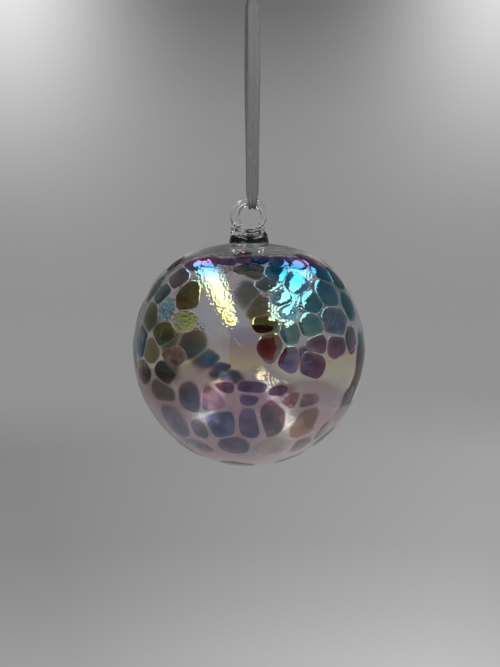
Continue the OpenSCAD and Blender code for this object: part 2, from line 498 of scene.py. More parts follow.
def collar():
    """One turn of ribbon wound about the strands, round like a bead so that they can swing under it."""
    t = np.linspace(0, 2 * math.pi * 1.25, 90)
    radius = COLLAR_R - 0.5 + 0.03 * t
    path = np.stack([radius * np.cos(t), radius * np.sin(t), COLLAR_Z + 0.03 * (t - t.mean())], 1)
    outward = lambda i, p, tan: np.array([p[0], p[1], 0.0])
    return [swept_ribbon(path, 4.9, 0.5, outward, cup=1.0)]


def knot():
    """An overhand knot: a trefoil path, with the two strands leaving below and above."""
    t = np.linspace(0.35, 2 * math.pi - 0.35, 160)
    middle = KNOT_H / 2
    x = np.sin(t) + 2 * np.sin(2 * t)
    y = np.cos(t) - 2 * np.cos(2 * t)
    z = -np.sin(3 * t)
    size = (KNOT_R - 1.5) / 3
    path = np.stack([x * size, z * size * 1.1, middle + y * size * 0.82], 1)
    centre = np.array([0, 0, middle])
    outward = lambda i, p, tan: (p - centre) * np.array([1, 1.8, 1]) + np.array([0, 0.01, 0])
    rise = np.linspace(-0.6, middle, 20)
    strands = np.stack([0.25 * np.sin(rise * 2), 0 * rise, rise], 1)
    facing = lambda i, p, tan: np.array([0.2, -1.0, 0.0])
    return [
        swept_ribbon(path, 3.6 + 0.5 * np.sin(3 * t), 1.0, outward, cup=0.4),
        swept_ribbon(strands, np.linspace(3.0, 4.4, 20), 1.7, facing, cup=0.2),
    ]


def tail(side):
    """One cut end of the ribbon, standing out of the knot in a shallow curve."""
    s = np.linspace(0, 1, 40)
    angle = math.radians(9 + 17) * s + math.radians(6)
    length = 12.6
    x = side * np.concatenate([[0], np.cumsum(np.sin(angle[1:]) * length / 39)]) + side * 0.8
    z = KNOT_H - 1.6 + np.concatenate([[0], np.cumsum(np.cos(angle[1:]) * length / 39)])
    y = side * (0.9 + 0.5 * s**2) + 0.25 * np.sin(s * 7)
    path = np.stack([x, y, z], 1)
    facing = lambda i, p, tan: np.array([0.18 * side, -1.0, 0.15 * math.sin(i * 0.12)])
    width = 3.4 + 2.0 * ease(s / 0.55)
    return swept_ribbon(path, width, 0.36, facing, cup=0.15)


knot_turn = ribbon_piece("ribbon_collar_turn", collar(), "collar", "knot_collar")
knot_piece = ribbon_piece("ribbon_overhand_knot", knot(), "knot", "ribbon_knot")
tails = ribbon_piece("ribbon_cut_ends", [tail(-1), tail(1)], "knot", "ribbon_tails")

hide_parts("ribbon_front_strand", "ribbon_back_strand", "ribbon_bight")
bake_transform(ribbon)


# ---- the blown form
UNEVENNESS = [  # wavelength, amplitude
    (38, 0.05), (33, 0.05), (27, 0.035), (22, 0.03), (18, 0.02), (15, 0.016), (12, 0.011), (10, 0.008),
    (8, 0.005), (7, 0.004),
]
WAVES = [
    (rng.normal(size=3), 2 * math.pi / wavelength, rng.uniform(0, TURN), amplitude)
    for wavelength, amplitude in UNEVENNESS
]
WAVES = [(d / np.linalg.norm(d), k, p, a) for d, k, p, a in WAVES]


def waves(u, share=1.0, shift=0.0):
    """The gentle unevenness of hand-blown glass at directions u."""
    total = np.zeros(len(u))
    for d, k, phase, amplitude in WAVES:
        total += share * amplitude * np.sin(k * ROUND_R * (u @ d) + phase + shift)
    return total


def form(u, depth):
    """Distance from the ball's centre to a surface at a depth under the skin, along directions u."""
    centre = CROWN_Z - CROWN_R
    sphere = np.full(len(u), ROUND_R - depth)
    along_z = centre * u[:, 2]
    crown = along_z + np.sqrt(along_z**2 - centre**2 + (CROWN_R - depth) ** 2)
    soft = 0.7
    low = np.minimum(sphere, crown)
    return low - soft * np.log(np.exp(-(sphere - low) / soft) + np.exp(-(crown - low) / soft))


def outer(u):
    return form(u, SKIN - 0.2) + waves(u)


def direction(lon, lat):
    """Unit direction for degrees right of the front and degrees up."""
    a, b = np.radians(lon), np.radians(lat)
    return np.stack([np.sin(a) * np.cos(b), -np.cos(a) * np.cos(b), np.sin(b)], -1)


# ---- the clear ball
SHELL_LEVEL = 7  # subdivisions of the outer wall
BUBBLES_RIGHT, OTHER_BUBBLES = 26, 40


def ball_parts():
    """The outer wall, the hollow and the small bubbles in the wall, which crowd together on the right."""
    u, faces = icosphere(SHELL_LEVEL)
    shell = (u * outer(u)[:, None] + BALL, faces.tolist())
    v, inner_faces = icosphere(6)
    hollow = v * (form(v, SKIN + WALL) + waves(v, 1.6, 2.0))[:, None]
    hollow = (hollow + BALL + [-0.2, 0, 0], inner_faces[:, ::-1].tolist())
    parts = [shell, hollow]
    b, bubble_faces = icosphere(2)
    seeds = [
        (rng.uniform(28, 78), rng.uniform(-32, 20), rng.uniform(0.12, 0.34)) for _ in range(BUBBLES_RIGHT)
    ] + [
        (rng.uniform(-180, 180), rng.uniform(-60, 50), rng.uniform(0.1, 0.3)) for _ in range(OTHER_BUBBLES)
    ]
    for lon, lat, size in seeds:
        d = direction(lon, lat)
        centre = d * (form(d[None], SKIN + WALL / 2)[0]) + BALL
        stretch = 1 + rng.uniform(0, 0.7)
        side = np.cross(d, [0, 0, 1.0])
        side /= np.linalg.norm(side)
        shape = b * size
        shape = shape + np.outer(shape @ side, side) * (stretch - 1)
        parts.append((shape + centre, bubble_faces[:, ::-1].tolist()))
    return parts


# Thickness of the lustre in nanometres, by height over the ball's centre, for a layer of FILM_INDEX. Its
# colours run pink, blue, cyan and yellow down the upper half, blue across the middle, then green
FILM = [
    (-50, 204), (-34, 198), (-25, 186), (-17, 162), (-10, 151), (-4, 166), (2, 192), (8, 211), (12, 215),
    (17, 208), (26, 203), (31, 188), (35, 162), (39, 134), (50, 122),
]
FILM_RANGE = 300.0  # thickness that the ramp gives as one
FILM_INDEX = 2.0
WEAK_INDEX, STRONG_INDEX = 1.65, 2.3  # where the lustre is faint and where it is full
CLEAR_INDEX = 1.5
BAND_SLANT = 0.122  # the bands of lustre lie lower at the back
GOLD = 98.0  # thickness low at the back, where it reflects gold


def by_height(pairs):
    """A ramp's stops from pairs of a height over the ball's centre and a value."""
    return [((height + ROUND_R) / (2 * ROUND_R), value) for height, value in pairs]


def lustre_places(n):
    """Right, back and band height over the ball's centre, in metres."""
    split = n.add("SeparateXYZ")
    n.wire(n.place(), split, "Vector")
    x, y, z = split.outputs["X"], split.outputs["Y"], split.outputs["Z"]
    height = n.minus(z, BALL[2] * MM)
    return x, y, n.plus(height, n.times(y, BAND_SLANT))


def low_behind(n):
    """One on the lower half at the back, nought elsewhere; it reaches higher on the right."""
    x, y, height = lustre_places(n)
    height = n.plus(height, n.remap(x, -0.004, 0.002, 0.009, 0, smooth=True))
    low = n.remap(height, -0.016, -0.009, 1, 0, smooth=True)
    return n.times(low, n.remap(y, 0.0, 0.015, 0, 1, smooth=True))


def film_strength(n):
    """Refractive index of the lustre: weaker on the lower half of the front and on the clear right side."""
    x, _, height = lustre_places(n)
    front = n.remap(height, -0.014, 0.004, 0.15, 1, smooth=True)
    right = n.remap(x, 0.018, 0.028, 0, 1, smooth=True)
    clear = n.times(right, n.remap(height, 0.002, 0.010, 1, 0))
    front = n.times(front, n.minus(1.0, clear))
    strength = n.math("MAXIMUM", front, low_behind(n))
    return n.plus(n.times(strength, STRONG_INDEX - WEAK_INDEX), WEAK_INDEX)


def film(n):
    """Thickness of the lustre, with a slow drift. Between shoulder and middle it is thicker on the left."""
    x, _, height = lustre_places(n)
    stops = by_height([(h, nanometres / FILM_RANGE) for h, nanometres in FILM])
    curve = n.ramp(n.remap(height, -ROUND_R * MM, ROUND_R * MM, 0, 1), stops)
    drift = n.remap(n.noise(38.0, 2.0, n.place()), 0.3, 0.7, -8, 8)
    sideways = n.remap(x, -0.014, 0.018, 15, -16, smooth=True)
    above = n.remap(height, 0.006, 0.013, 0, 1, smooth=True)
    below = n.remap(height, 0.026, 0.036, 1, 0.2, smooth=True)
    thickness = n.plus(n.times(curve, FILM_RANGE), drift)
    thickness = n.plus(thickness, n.times(sideways, n.times(above, below)))
    share = n.minus(1.0, low_behind(n))
    thickness = n.plus(n.times(n.minus(thickness, GOLD), share), GOLD)
    return n.times(thickness, n.math("DIVIDE", FILM_INDEX, film_strength(n)))


SCALES_PER_M = 820.0
SCALE_DEPTH_M = 0.00005


def crackle(n, slope):
    """The scaly surface of the lustre: high at the front and low at the back, away from the middle."""
    x, y, height = lustre_places(n)
    sideways = n.math("ABSOLUTE", n.minus(x, BALL[0] * MM))
    where = n.remap(sideways, 0.003, 0.009, 0.05, 1, smooth=True)
    front = n.remap(y, -0.004, 0.004, 1, 0, smooth=True)
    front = n.times(front, n.remap(height, 0.006, 0.012, 0.04, 1, smooth=True))
    where = n.times(where, n.math("MAXIMUM", front, low_behind(n)))
    return n.bump(n.times(n.voronoi(SCALES_PER_M), where), SCALE_DEPTH_M * slope)


# Tint that the lustre gives to what is seen through the middle of the ball, by the same height
LUSTRE_TINT = [
    (-18, (1, 0.98, 0.96)), (-9, (1, 0.93, 0.74)), (-3, (1, 0.86, 0.68)), (3, (0.88, 0.75, 0.80)),
    (9, (0.90, 0.90, 1.0)), (14, (1, 1, 1)),
]


def clear_glass():
    n = Nodes("clear_lustre_glass")
    tone = n.mottle(18.0, 1.0, (0.985, 0.98, 0.955), (0.95, 0.96, 0.93))
    height = n.remap(lustre_places(n)[2], -ROUND_R * MM, ROUND_R * MM, 0, 1)
    tint = n.ramp(height, by_height(LUSTRE_TINT))
    tone = n.mix(1.0, tone, tint, blend="MULTIPLY")
    # under a chip the lustre is on the chip and not on the wall
    extra = n.times(n.minus(film_strength(n), CLEAR_INDEX), n.attribute("bare"))
    strength = n.plus(extra, CLEAR_INDEX)
    n.set(
        Base_Color=tone, Roughness=0.0, IOR=1.5, Transmission_Weight=1.0,
        Thin_Film_Thickness=film(n), Thin_Film_IOR=strength, Normal=crackle(n, 1.8),
    )
    return n.material


def inner_glass():
    n = Nodes("clear_inner_glass")
    tone = n.mottle(22.0, 1.0, (0.99, 0.985, 0.97), (0.965, 0.97, 0.95))
    n.set(
        Base_Color=tone, Roughness=0.0, IOR=1.5, Transmission_Weight=1.0,
        Normal=n.bump(n.noise(90.0, 1.0), 0.00006),
    )
    return n.material


parts = ball_parts()
ball = piece("ball_clear_glass", *join_meshes(parts))
ball.data.materials.append(clear_glass())
ball.data.materials.append(inner_glass())
outside = len(parts[0][1])
inner = [int(i >= outside) for i in range(len(ball.data.polygons))]
ball.data.polygons.foreach_set("material_index", inner)
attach(ball, "ball")
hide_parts("ball_shell")


# ---- the fused colour
TINTS = {
    "mauve": (0.66, 0.42, 0.50), "plum": (0.30, 0.14, 0.22), "violet": (0.36, 0.18, 0.36),
    "indigo": (0.30, 0.24, 0.48), "dusk": (0.44, 0.36, 0.44),
    "slate": (0.24, 0.26, 0.32), "navy": (0.07, 0.18, 0.36), "teal": (0.16, 0.36, 0.42),
    "cyan": (0.32, 0.68, 0.76), "sky": (0.40, 0.84, 1.0),
    "moss": (0.30, 0.32, 0.22), "olive": (0.36, 0.32, 0.12), "lime": (0.84, 0.84, 0.26),
    "bark": (0.23, 0.13, 0.08),
    "maroon": (0.34, 0.10, 0.10), "rust": (0.50, 0.18, 0.10), "amber": (0.62, 0.33, 0.16),
    "umber": (0.44, 0.27, 0.17), "tan": (0.86, 0.66, 0.50),
}
GROUPS = {
    "amethyst": ("mauve", "plum", "violet", "indigo", "dusk"),
    "blue": ("slate", "navy", "teal", "cyan", "sky"),
    "olive": ("moss", "olive", "lime", "bark"),
    "amber": ("maroon", "rust", "amber", "umber", "tan"),
}
# Chips of colour: tint, degrees right of the front, degrees up, half width, half height. Many of the front
# and back rows began as a scratch script's conversions and were edited by hand since, as report.md says
CHIPS = [
    # lower front
    ("slate", -30, -16, 5.6, 6.0), ("mauve", -18, -17, 5.5, 6.0), ("plum", -11, -10, 4.5, 2.4),
    ("plum", 1, -10, 6.5, 2.8), ("maroon", 14, -12, 4.5, 2.4), ("violet", 0, -16, 3.8, 3.2),
    ("indigo", -15, -30, 6.2, 8.5), ("plum", -10, -44, 6.7, 6.5), ("violet", 0, -29, 4.6, 9.0),
    ("maroon", 12, -26, 5.4, 9.5), ("amber", 32, -31, 5.4, 9.0), ("umber", 30, -18, 5.0, 3.4),
    ("rust", 21, -17, 4.4, 3.6), ("tan", 19, -47, 9.5, 6.0), ("dusk", -46, -32, 6.6, 9.0),
    ("mauve", -38, -48, 5.2, 5.2), ("umber", 38, -46, 5.0, 5.5), ("tan", 53, -38, 3.8, 5.5),
    ("umber", 61, -19, 3.9, 3.6), ("tan", 68, -46, 5.5, 5.3), ("dusk", -29, -34, 4.0, 5.0),
    # left
    ("moss", -48, -15, 8.0, 4.6), ("moss", -63, -7, 6.5, 4.6), ("moss", -44, -5, 6.0, 4.2),
    ("slate", -66, 8, 6.8, 6.2), ("olive", -54, 4, 6.0, 4.6), ("umber", -38, 3, 6.0, 3.8),
    ("olive", -46, 13, 6.5, 4.5), ("moss", -61, 20, 6.4, 6.0), ("lime", -34, 20, 5.4, 4.6),
    ("sky", -49, 25, 5.6, 4.8), ("bark", -36, 32, 5.8, 6.5), ("navy", -58, 32, 5.0, 4.8),
    ("plum", -51, 42, 5.6, 5.2), ("plum", -46, 51, 5.0, 4.0), ("plum", -32, 54, 6.2, 3.4),
    ("plum", -18, 54, 6.0, 2.4), ("indigo", -75, 34, 5.5, 5.6),
    ("plum", -4, 56, 5.6, 2.8),
    # upper right
    ("bark", 1, 49, 6.6, 3.2), ("navy", 19, 46, 5.6, 4.0), ("navy", 9, 56, 5.6, 3.0),
    ("navy", 24, 54, 5.6, 3.6), ("indigo", 40, 53, 5.6, 4.2),
    ("indigo", 56, 54, 5.6, 4.4), ("slate", 12, 39, 5.6, 3.0), ("navy", 30, 40, 5.6, 4.8),
    ("teal", 18, 32, 4.2, 3.6), ("cyan", 21, 25, 4.2, 3.6), ("teal", 36, 29, 5.0, 4.8),
    ("navy", 50, 33, 6.2, 6.4), ("navy", 58, 45, 5.6, 5.0), ("navy", 67, 25, 5.4, 6.3),
    ("plum", 74, 40, 6.5, 5.4), ("teal", 32, 18, 5.6, 5.0), ("indigo", 48, 19, 7.5, 6.2),
    ("teal", 20, 15, 4.0, 5.0), ("maroon", 8, 19, 4.6, 4.0), ("maroon", 10, 9, 4.8, 6.0),
    ("plum", 34, 9, 5.0, 4.0), ("violet", 19, 3, 4.4, 5.2), ("plum", 31, 0, 5.8, 5.4),
    ("plum", 46, 7, 5.6, 4.4), ("plum", 59, 9, 4.6, 5.0),
    # back
    ("slate", -179, 24, 6.5, 7.0), ("bark", 173, 16, 6.5, 5.8), ("bark", -147, -3, 8.0, 8.0),
    ("bark", -155, -13, 7.5, 6.0), ("bark", -163, -20, 7.0, 4.6), ("bark", -171, -24, 6.0, 3.6),
    ("olive", -132, 1, 8.5, 7.4),
    ("moss", -120, 13, 8.4, 6.8), ("navy", 148, 24, 7.4, 6.7), ("indigo", 129, 14, 9.0, 6.9),
    ("navy", 160, 34, 5.4, 5.5), ("bark", 174, 38, 6.5, 4.0), ("plum", -163, 45, 6.8, 4.0),
    ("plum", -138, 43, 6.7, 4.8), ("bark", -138, 26, 7.2, 6.7), ("moss", 168, 6, 6.0, 4.6),
    ("mauve", -144, -35, 6.3, 5.4), ("violet", -163, -40, 6.0, 6.1), ("plum", 174, -36, 5.9, 4.9),
    ("rust", 158, -30, 6.9, 4.7), ("amber", 134, -42, 6.8, 6.3), ("maroon", 156, -50, 6.1, 6.7),
    ("plum", -178, -63, 6.6, 7.2), ("indigo", -140, -56, 6.3, 6.5), ("violet", 146, -10, 6.0, 5.2),
    ("moss", -128, -17, 8.4, 6.0), ("dusk", -122, -35, 6.8, 5.9), ("plum", 128, 33, 7.1, 5.4),
    ("tan", 138, -64, 6.2, 6.7),
    # sides and foot
    ("plum", 104, 28, 7.0, 6.0), ("tan", 112, -42, 6.0, 6.5), ("navy", 98, 44, 6.5, 6.0),
    ("moss", -97, 0, 6.5, 7.0), ("slate", -98, 18, 6.5, 6.5), ("dusk", -94, -20, 6.5, 6.5),
    ("indigo", -98, -42, 7.0, 6.5), ("plum", -100, 38, 6.5, 6.5), ("violet", -75, -58, 7.0, 6.5),
    ("plum", 60, -66, 7.0, 6.0), ("mauve", -20, -72, 7.0, 6.5), ("indigo", 170, -82, 7.0, 6.5),
    ("navy", 130, 50, 6.5, 4.5), ("indigo", -115, 54, 6.5, 4.5), ("slate", -82, 50, 5.5, 4.5),
]
GROWTH = 1.15  # the ovals reach past the veins, which then cut them


def vein(one, other):
    """Gap between two chips: wide low at the front; at the top and at the back they run together."""
    middle = (one + other) / 2
    if middle[1] > 0.25:
        return -1.4 + 1.8 * float(ease((-0.36 - middle[2]) / 0.15))
    uneven = 0.5 + 0.5 * math.sin(37 * float((one + other).sum()))
    low = float(ease((-0.14 - middle[2]) / 0.17))
    crown = float(ease((middle[2] - 0.72) / 0.06))
    return 0.05 + 0.2 * uneven + low * (0.05 + 0.65 * uneven) - 1.2 * crown


def tangent_frame(centre):
    east = np.cross([0, 0, 1.0], centre)
    east /= np.linalg.norm(east)
    return east, np.cross(centre, east)


def oval_reach(a, b, angle):
    """Distance from an oval's centre to its edge at an angle, for half width a and half height b."""
    return a * b / np.sqrt((b * np.cos(angle)) ** 2 + (a * np.sin(angle)) ** 2)


def chip_outline(index, angles):
    """Radius of a chip's edge at angles about its centre: an uneven oval, cut off at its neighbours."""
    _, lon, lat, a, b = CHIPS[index]
    centre = direction(lon, lat)
    east, north = tangent_frame(centre)
    r = np.random.default_rng(100 + index)
    wobble = np.ones(len(angles))
    for lobes, size in ((2, 0.05), (3, 0.045), (5, 0.02)):
        wobble += size * np.sin(lobes * angles + r.uniform(0, TURN))
    limits = [oval_reach(a, b, angles) * wobble * GROWTH]
    for j, (_, lon2, lat2, a2, b2) in enumerate(CHIPS):
        if j == index:
            continue
        other = direction(lon2, lat2)
        apart = ROUND_R * math.acos(max(-1, min(1, float(centre @ other))))
        if apart > max(a, b) + max(a2, b2) + 4:
            continue
        toward = math.atan2(float(other @ north), float(other @ east))
        # each chip's own reach towards the other one sets where the vein runs
        my_reach = oval_reach(a, b, toward)
        their_reach = oval_reach(a2, b2, toward + math.pi)
        edge = apart * my_reach / (my_reach + their_reach) - vein(centre, other) / 2
        cosine = np.cos(angles - toward)
        limits.append(np.where(cosine > 0.08, edge / np.maximum(cosine, 0.08), 99.0))
    soft = 0.8 if lat < -8 else 0.5
    limits = np.array(limits)
    low = limits.min(axis=0)
    return np.maximum(low - soft * np.log(np.exp(-(limits - low) / soft).sum(axis=0)), 0.8)


RINGS = 12
SPOKES = 56
LIFT = 0.12  # height of a chip's underside over the clear wall


def chip_mesh(index):
    """A thin lens that follows the ball, and its points' tint."""
    name, lon, lat, a, b = CHIPS[index]
    centre = direction(lon, lat)
    east, north = tangent_frame(centre)
    angles = np.linspace(0, 2 * math.pi, SPOKES, endpoint=False)
    edge = chip_outline(index, angles)
    r = np.random.default_rng(500 + index)
    front = abs(lon) < 92
    upper_right = front and lon > 5 and lat > -5
    low = lat < -8
    height = 0.06 + 0.012 * min(a, b) if low else 0.10 + 0.022 * min(a, b) + (0.22 if upper_right else 0.0)
    shares = np.sin(np.linspace(0, math.pi / 2, RINGS + 1))[1:]
    rho = np.concatenate([[0.0], np.outer(shares, edge).ravel()])
    theta = np.concatenate([[0.0], np.tile(angles, RINGS)])
    share = np.concatenate([[0.0], np.repeat(shares, SPOKES)])
    arc = rho / ROUND_R
    u = (
        np.outer(np.cos(arc), centre)
        + np.outer(np.sin(arc) * np.cos(theta), east)
        + np.outer(np.sin(arc) * np.sin(theta), north)
    )
    base = outer(u)
    dome = height * (1 - share**2.6) ** (1.0 if low else 0.62) + 0.03
    phase = r.uniform(0, TURN)
    lumps = 0.05 * np.sin(rho * 0.9 + phase) * np.cos(theta * 2 + r.uniform(0, TURN)) * (1 - share)
    top = u * (base + LIFT + dome + lumps)[:, None] + BALL
    under = u * (base + LIFT)[:, None] + BALL
    n = len(u)
    upper, lower = [], []
    for j in range(SPOKES):
        k = (j + 1) % SPOKES
        upper.append((0, 1 + j, 1 + k))
        lower.append((n, n + 1 + k, n + 1 + j))
        last = 1 + (RINGS - 1) * SPOKES
        upper.append((last + j, n + last + j, n + last + k, last + k))
    for i in range(RINGS - 1):
        p, q = 1 + i * SPOKES, 1 + (i + 1) * SPOKES
        for j in range(SPOKES):
            k = (j + 1) % SPOKES
            upper.append((p + j, q + j, q + k, p + k))
            lower.append((n + p + k, n + q + k, n + q + j, n + p + j))
    faces = upper + lower
    softness = (0.14 if lat < -8 else 0.08) if front else 0.45
    density = ease((1 - share) / softness) * (0.82 + 0.34 * (1 - share**2))
    density *= 1 + 0.18 * np.sin(rho * 0.5 + theta + r.uniform(0, TURN))
    if front:
        density *= 1 - 0.26 * float(ease((-6 - lat) / 12)) - 0.26 * float(ease((-32 - lat) / 18))
        if lon < -25 and lat < 5:
            density *= 0.62 if lat < -4 else 0.9
        elif name in ("sky", "lime"):
            density *= 0.65
        elif lon < -38:
            density *= 1.25 if lat > 25 else 0.85
    else:
        density *= 1.8 - 1.52 * float(ease((-22 - lat) / 10))
    density = np.maximum(density, 0.03)
    tint = np.array(TINTS[name])[None, :] ** density[:, None]
    return np.vstack([top, under]), faces, np.vstack([tint, tint])


def chip_glass(name, lustre):
    """Transparent coloured glass, on its outside with the same lustre and scaly surface as the ball."""
    n = Nodes(name + ("_lustre_glass" if lustre else "_under_glass"))
    tint = n.attribute("tint", "Color")
    cloud = n.remap(n.noise(160.0, 3.0), 0.3, 0.7, 0.86, 1.08)
    shade = n.mix(1.0, tint, cloud, blend="MULTIPLY")
    n.set(Base_Color=shade, Roughness=0.0, IOR=1.5, Transmission_Weight=1.0)
    if lustre:
        n.set(Thin_Film_Thickness=film(n), Thin_Film_IOR=film_strength(n), Normal=crackle(n, 0.9))
    return n.material


def bare_share(u):
    """One where the wall is bare in a direction, nought under a chip."""
    covered = np.zeros(len(u))
    for index, (_, lon, lat, a, b) in enumerate(CHIPS):
        centre = direction(lon, lat)
        east, north = tangent_frame(centre)
        near = np.nonzero(u @ centre > math.cos((1.3 * GROWTH * max(a, b)) / ROUND_R))[0]
        away = ROUND_R * np.arccos(np.clip(u[near] @ centre, -1, 1))
        edge = chip_outline(index, np.arctan2(u[near] @ north, u[near] @ east))
        covered[near] = np.maximum(covered[near], ease((edge - away) / 0.6))
    return 1 - covered


outer_points = len(parts[0][0])
bare = np.ones(len(ball.data.vertices))
bare[:outer_points] = bare_share(icosphere(SHELL_LEVEL)[0])
point_value(ball, "bare", bare)

for group, members in GROUPS.items():
    meshes = [chip_mesh(i) for i, chip in enumerate(CHIPS) if chip[0] in members]
    points, faces = join_meshes([(p, f) for p, f, _ in meshes])
    chips = piece("chips_" + group, points, faces)
    point_colour(chips, "tint", np.vstack([t for _, _, t in meshes]))
    chips.data.materials.append(chip_glass(group, True))
    chips.data.materials.append(chip_glass(group, False))
    per_chip = len(meshes[0][1])
    upper_faces = SPOKES * (RINGS + 1)
    under = [int(i % per_chip >= upper_faces) for i in range(len(chips.data.polygons))]
    chips.data.polygons.foreach_set("material_index", under)
    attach(chips, "ball")
    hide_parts(group + "_patches")


# ---- milky glass in the lower half
def veil_top(u):
    """Height of the veil's upper edge over the ball's centre: highest in front, lower to the right."""
    x, y = u[:, 0] * ROUND_R, u[:, 1] * ROUND_R
    right = 6 * np.log1p(np.exp((x + 6) / 6))
    slant = -4.5 - 0.36 * right + 0.7 * np.sin(x * 0.3 + 1)
    behind = -15 - 0.1 * x + 1.2 * np.sin(x * 0.21)
    share = ease((y + 22) / 30)
    return slant * (1 - share) + behind * share


VEIL_COLUMNS = 260
VEIL_FADE = 3.0  # how far the milk takes to build up below the edge
# Where the milky glass is thin: degrees right, degrees up, half width, half height
THIN_MILK = [(22, -34, 7, 12), (-24, -25, 7, 9)]


def veil_mesh():
    """A thin sheet over the lower half: rows from the foot of the ball up to the wavering edge."""
    columns, rows = VEIL_COLUMNS, 90
    angles = np.linspace(0, 2 * math.pi, columns, endpoint=False)
    top = np.full(columns, -14.0)
    for _ in range(12):
        level = top / ROUND_R
        ring = np.sqrt(1 - level**2)
        top = veil_top(np.stack([np.cos(angles) * ring, np.sin(angles) * ring, level], 1))
    top_lat = np.arcsin(top / ROUND_R)
    grid, fade = [], []
    for i in range(rows):
        s = i / (rows - 1)
        lat = -math.pi / 2 + 0.002 + (top_lat + math.pi / 2 - 0.002) * s
        grid.append(np.stack([np.cos(angles) * np.cos(lat), np.sin(angles) * np.cos(lat), np.sin(lat)], 1))
        milky = ease((top - np.sin(lat) * ROUND_R) / VEIL_FADE)
        for lon, height, wide, tall in THIN_MILK:
            right = (np.degrees(np.arctan2(grid[-1][:, 0], -grid[-1][:, 1])) - lon) / wide
            up = (np.degrees(lat) - height) / tall
            milky = milky * (1 - 0.93 * np.exp(-right ** 4 - up ** 4))
        fade += list(milky)
    u = np.vstack(grid)
    base = outer(u)
    thickness = 0.01 + 0.05 * np.array(fade)
    under = u * (base + 0.03)[:, None] + BALL
    upper = u * (base + 0.03 + thickness)[:, None] + BALL
    n = len(u)
    faces = grid_faces(rows, columns, closed=True)
    faces += [tuple(n + i for i in f[::-1]) for f in faces]
    last = (rows - 1) * columns
    for j in range(columns):
        k = (j + 1) % columns
        faces.append((last + j, last + k, n + last + k, n + last + j))
    faces.append(list(range(columns))[::-1])
    faces.append([n + j for j in range(columns)])
    return np.vstack([upper, under]), faces, fade + fade


def milk_glass():
    """Pinkish glass that scatters what is seen through it, most where it is thick."""
    n = Nodes("milk_glass_veil")
    place = n.place()
    cloud = n.noise(75.0, 4.0, place, 0.6)
    fade = n.attribute("fade")
    pink = n.mix(n.remap(cloud, 0.35, 0.65, 0, 1), (1.0, 0.86, 0.89), (0.99, 0.78, 0.84))
    shade = n.mix(fade, (1.0, 0.99, 0.985), pink)
    rough = n.times(fade, n.remap(cloud, 0.3, 0.7, 0.03, 0.14))
    n.set(
        Base_Color=shade, Roughness=rough, IOR=1.5,
        Transmission_Weight=n.remap(fade, 0, 1, 1.0, 0.84),
        Normal=n.bump(n.noise(500.0, 2.0, place), 0.00003, 0.5),
    )
    return n.material


points, faces, fade = veil_mesh()
veil = piece("veil_milk_glass", points, faces)
point_value(veil, "fade", fade)
half = len(points) // 2
rim = set(range(half - VEIL_COLUMNS, half)) | set(range(2 * half - VEIL_COLUMNS, 2 * half))
for edge in veil.data.edges:
    edge.use_edge_sharp = rim.issuperset(edge.vertices)
veil.data.materials.append(milk_glass())
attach(veil, "ball")
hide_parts("milk_veil")


# ---- thin trails of glass
THREADS = [  # start, end: degrees right and up; bow; radius
    ((24, 1), (66, 7), -2.5, 0.13),
    ((38, -24), (56, -27), -2.0, 0.12),
    ((-14, 17), (-2, 8), 1.0, 0.12),
]


def thread_mesh(start, end, bow, radius):
    s = np.linspace(0, 1, 60)
    lon = start[0] + (end[0] - start[0]) * s
    lat = start[1] + (end[1] - start[1]) * s + bow * np.sin(math.pi * s) + 0.3 * np.sin(s * 14)
    u = direction(lon, lat)
    path = u * (outer(u) + 0.6)[:, None] + BALL
    return tube(path, radius * (0.35 + 0.65 * np.sin(math.pi * s) ** 0.5), 12)


def thread_glass():
    n = Nodes("thread_lustre_glass")
    tone = n.mottle(300.0, 2.0, (0.85, 0.70, 0.74), (0.62, 0.48, 0.55))
    n.set(
        Base_Color=tone, Roughness=0.02, IOR=1.5, Transmission_Weight=1.0,
        Thin_Film_Thickness=film(n), Thin_Film_IOR=film_strength(n),
        Normal=n.bump(n.noise(900.0), 0.00002, 0.4),
    )
    return n.material


threads = piece("trails_glass", *join_meshes([thread_mesh(*t) for t in THREADS]))
threads.data.materials.append(thread_glass())
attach(threads, "ball")
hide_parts("glass_threads")


# ---- seal, foot, loop and curl in one fused piece
EYE = np.array([BALL[0] + 0.5, 0, SEAL_TOP + 7.8])
EYE_R = 4.4
ROD_THIN, ROD_TOP, ROD_THICK = 1.35, 1.8, 2.1


def rod_r(a):
    low = ROD_THIN + (ROD_TOP - ROD_THIN) * ease((a - 10) / 80)
    high = ROD_TOP + (ROD_THICK - ROD_TOP) * ease((a - 90) / 80)
    return np.where(a < 90, low, high)


def lathe(profile, sides, centre):
    """A solid of revolution from (radius, height) pairs, from the axis to the axis."""
    angles = np.linspace(0, 2 * math.pi, sides, endpoint=False)
    rows = [
        np.stack([r * np.cos(angles), r * np.sin(angles), np.full(sides, z)], 1) for r, z in profile
    ]
    points = np.vstack(rows) + centre
    faces = grid_faces(len(profile), sides, closed=True)
    faces += [list(range(sides))[::-1], [(len(profile) - 1) * sides + j for j in range(sides)]]
    return points, faces


def ellipsoid(centre, radii, turn=0.0):
    u, faces = icosphere(4)
    shape = u * np.array(radii)
    c, s = math.cos(turn), math.sin(turn)
    shape = shape @ np.array([[c, 0, s], [0, 1, 0], [-s, 0, c]]).T
    return shape + centre, faces.tolist()


